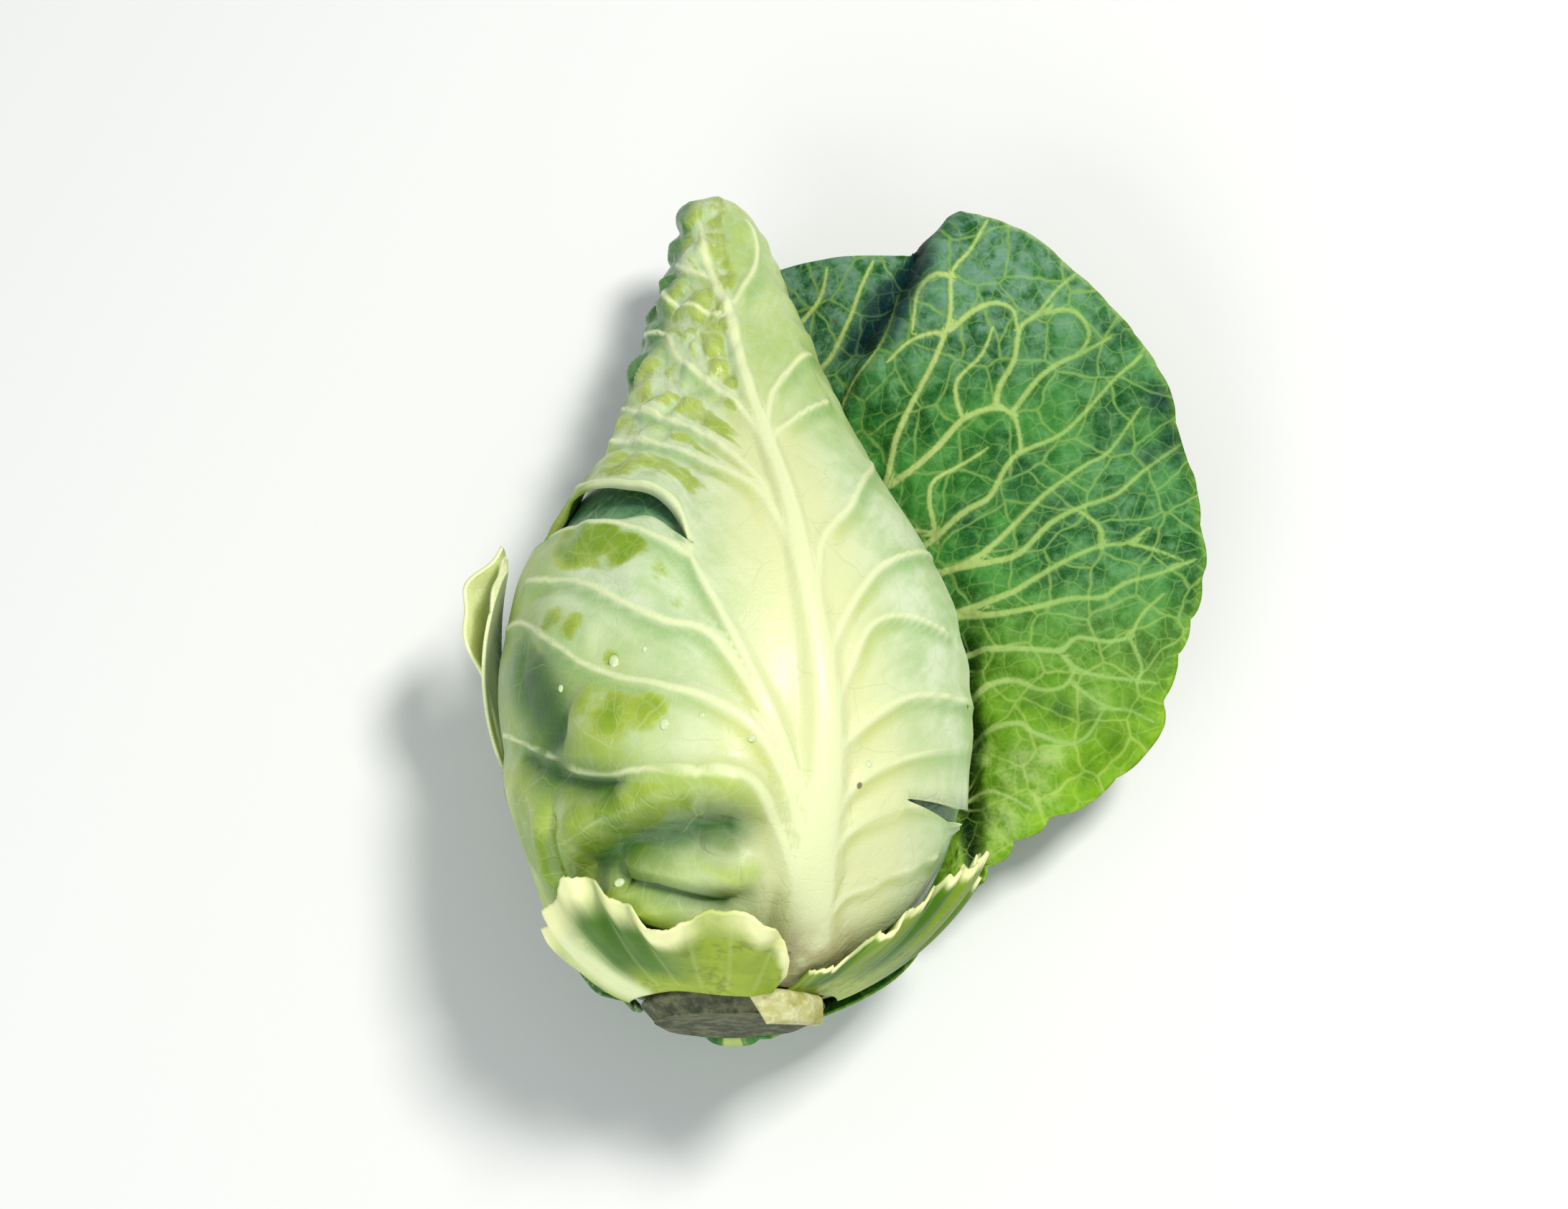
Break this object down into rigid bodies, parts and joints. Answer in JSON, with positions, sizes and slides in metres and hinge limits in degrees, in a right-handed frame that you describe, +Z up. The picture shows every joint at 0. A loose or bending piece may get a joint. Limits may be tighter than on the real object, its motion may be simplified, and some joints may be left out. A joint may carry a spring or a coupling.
{
  "type": "cabbage head",
  "caption": "Pointed cabbage head with ribbed wrapper leaves, a torn side, a cut stem and a loose dark outer leaf spread at one side; it lies on its back.",
  "frame": {"origin": "on the surface that the head lies on, at the middle of its underside's flat spot", "axes": "+Y along the head from the cut stem to the tip, +X towards the loose outer leaf, +Z up from the surface"},
  "size_m": [0.2063, 0.2467, 0.1279],
  "materials": {
    "heart_leaves": "fresh pale yellow leaf, satin",
    "inner_leaf": "fresh blue-green leaf, waxy",
    "pale_leaf": "fresh pale yellow-green leaf, waxy, near-white ribs",
    "back_leaf": "fresh green leaf, waxy",
    "outer_leaf": "fresh dark blue-green leaf, waxy bloom, pale veins",
    "curled_leaf": "fresh mid-green leaf, satin",
    "leaf_base": "broken leaf base, yellow-green, satin",
    "leaf_stalk": "white leaf stalk, satin",
    "cut_stem": "dried cut stem, rough"
  },
  "bodies": {
    "root": {"heart": "heart_leaves", "left_leaf": "inner_leaf", "right_leaf": "inner_leaf", "front_leaf": "pale_leaf", "back_leaf": "back_leaf", "outer_leaf": "outer_leaf", "curled_leaf": "curled_leaf", "base_leaf_left": "leaf_base", "base_leaf_right": "leaf_base", "base_leaf_under": "leaf_base", "stem": "cut_stem", "cut_petiole": "leaf_stalk"}
  },
  "joints": []
}
